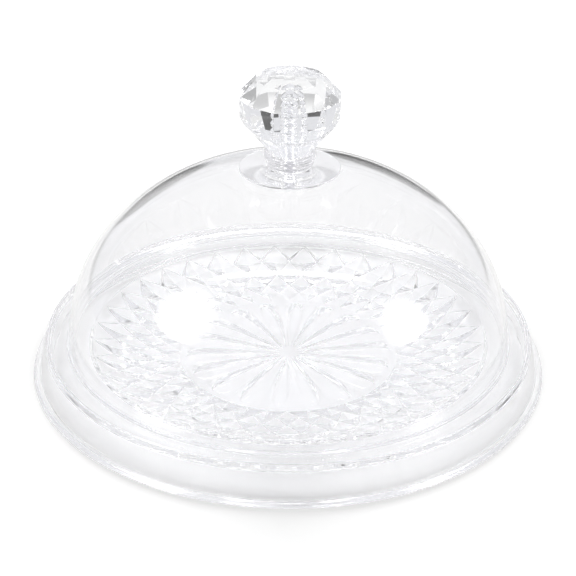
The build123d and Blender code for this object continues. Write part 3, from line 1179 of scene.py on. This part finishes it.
def addWorld():
    world = bpy.data.worlds.new("studio")
    world.use_nodes = True
    tree = world.node_tree
    tree.nodes.clear()
    background = tree.nodes.new("ShaderNodeBackground")
    output = tree.nodes.new("ShaderNodeOutputWorld")
    low = studioSettings["worldLow"]
    background.inputs["Color"].default_value = (1, 1, 1, 1)
    strength = mathNode(tree, "MULTIPLY_ADD", seenRays(tree), 1 - low, low)
    tree.links.new(strength, background.inputs["Strength"])
    tree.links.new(background.outputs[0], output.inputs["Surface"])
    scene.world = world


def addFloor():
    # White paper that keeps the shadow, and stays white far from the lamps.
    values = studioSettings
    material, tree, surface = newMaterial("floor")
    link = tree.links.new
    paper = tree.nodes.new("ShaderNodeBsdfDiffuse")
    glow = tree.nodes.new("ShaderNodeEmission")
    add = tree.nodes.new("ShaderNodeAddShader")
    path = tree.nodes.new("ShaderNodeLightPath")
    shade = values["floorShade"]
    paper.inputs["Color"].default_value = (shade, shade, shade, 1)
    bent = mathNode(tree, "MAXIMUM", path.outputs["Is Glossy Ray"], path.outputs["Is Transmission Ray"])
    spread = mapRange(tree, middleDistance(tree), values["farFrom"], values["farTo"],
                      values["floorGlow"], values["floorGlow"] + values["farGlow"])
    direct = mathNode(tree, "MULTIPLY", path.outputs["Is Camera Ray"], spread)
    link(mathNode(tree, "MULTIPLY_ADD", bent, values["glassFloorGlow"], direct), glow.inputs["Strength"])
    link(paper.outputs[0], add.inputs[0])
    link(glow.outputs[0], add.inputs[1])
    link(add.outputs[0], surface)
    mesh = newMesh("floor", lambda bm: bmesh.ops.create_grid(
        bm, x_segments=1, y_segments=1, size=values["floorSize"]))
    mesh.materials.append(material)
    floor = bpy.data.objects.new("floor", mesh)
    scene.collection.objects.link(floor)


def facing(place, target):
    direction = Vector(place) - Vector(target)
    return Matrix.Translation(place) @ direction.to_track_quat("Z", "Y").to_matrix().to_4x4()


def onlyInGlass(item):
    # Reflections and refractions show it, and it takes no light away from the rest.
    item.visible_camera = False
    item.visible_shadow = False
    item.visible_diffuse = False


def addRoom():
    # A pale wall that grows whiter up to its ceiling. It gives the glass its grey tones.
    values = studioSettings
    material, tree, surface = newMaterial("room")
    link = tree.links.new
    glow = tree.nodes.new("ShaderNodeEmission")
    coordinates = tree.nodes.new("ShaderNodeTexCoord")
    parts = tree.nodes.new("ShaderNodeSeparateXYZ")
    link(coordinates.outputs["Object"], parts.inputs[0])
    shade = mapRange(tree, parts.outputs["Z"], values["fadeFrom"], values["roomHeight"],
                     values["wallShade"], values["ceilingShade"])
    glow.inputs["Color"].default_value = (*values["roomTint"], 1)
    link(shade, glow.inputs["Strength"])
    link(glow.outputs[0], surface)

    def build(bm):
        made = bmesh.ops.create_circle(
            bm, cap_ends=True, segments=values["roomSegments"], radius=values["roomRadius"])
        bmesh.ops.translate(bm, verts=made["verts"], vec=(0, 0, values["roomHeight"]))
        walls = bmesh.ops.extrude_edge_only(bm, edges=list(bm.edges))
        lowered = [item for item in walls["geom"] if isinstance(item, bmesh.types.BMVert)]
        bmesh.ops.translate(bm, verts=lowered, vec=(0, 0, -values["roomHeight"]))

    mesh = newMesh("room", build)
    mesh.materials.append(material)
    room = bpy.data.objects.new("room", mesh)
    onlyInGlass(room)
    scene.collection.objects.link(room)


def addPanel(name, place, target, size, strength):
    # A soft-edged panel, bright or dark, that only reflections and refractions show.
    values = studioSettings
    material, tree, surface = newMaterial(name)
    link = tree.links.new
    glow = tree.nodes.new("ShaderNodeEmission")
    clear = tree.nodes.new("ShaderNodeBsdfTransparent")
    mix = tree.nodes.new("ShaderNodeMixShader")
    core = values["glowCore" if strength > 1 else "darkCore"]
    glow.inputs["Strength"].default_value = strength
    link(mapRange(tree, middleDistance(tree), 1.0, core, interpolation="SMOOTHSTEP"), mix.inputs["Fac"])
    link(clear.outputs[0], mix.inputs[1])
    link(glow.outputs[0], mix.inputs[2])
    link(mix.outputs[0], surface)
    mesh = newMesh(name, lambda bm: bmesh.ops.create_circle(
        bm, cap_ends=True, segments=values["panelSegments"], radius=1))
    mesh.materials.append(material)
    panel = bpy.data.objects.new(name, mesh)
    panel.matrix_world = facing(place, target) @ Matrix.Diagonal((size[0] / 2, size[1] / 2, 1, 1))
    onlyInGlass(panel)
    scene.collection.objects.link(panel)


def addBox(name, place, target, size, power):
    data = bpy.data.lights.new(name, "AREA")
    data.shape = "RECTANGLE"
    data.size = size
    data.size_y = size
    data.energy = power
    light = bpy.data.objects.new(name, data)
    light.matrix_world = facing(place, target)
    light.visible_camera = False
    light.visible_glossy = False
    scene.collection.objects.link(light)


addWorld()
addFloor()
addRoom()
for box in studioSettings["boxes"]:
    addBox(*box)
for panel in studioSettings["panels"]:
    addPanel(*panel)
scene.view_settings.view_transform = "Standard"
bounces = studioSettings["bounces"]
scene.cycles.max_bounces = bounces["all"]
scene.cycles.transmission_bounces = bounces["transmission"]
scene.cycles.glossy_bounces = bounces["glossy"]
scene.cycles.transparent_max_bounces = bounces["transparent"]
print("studio done")
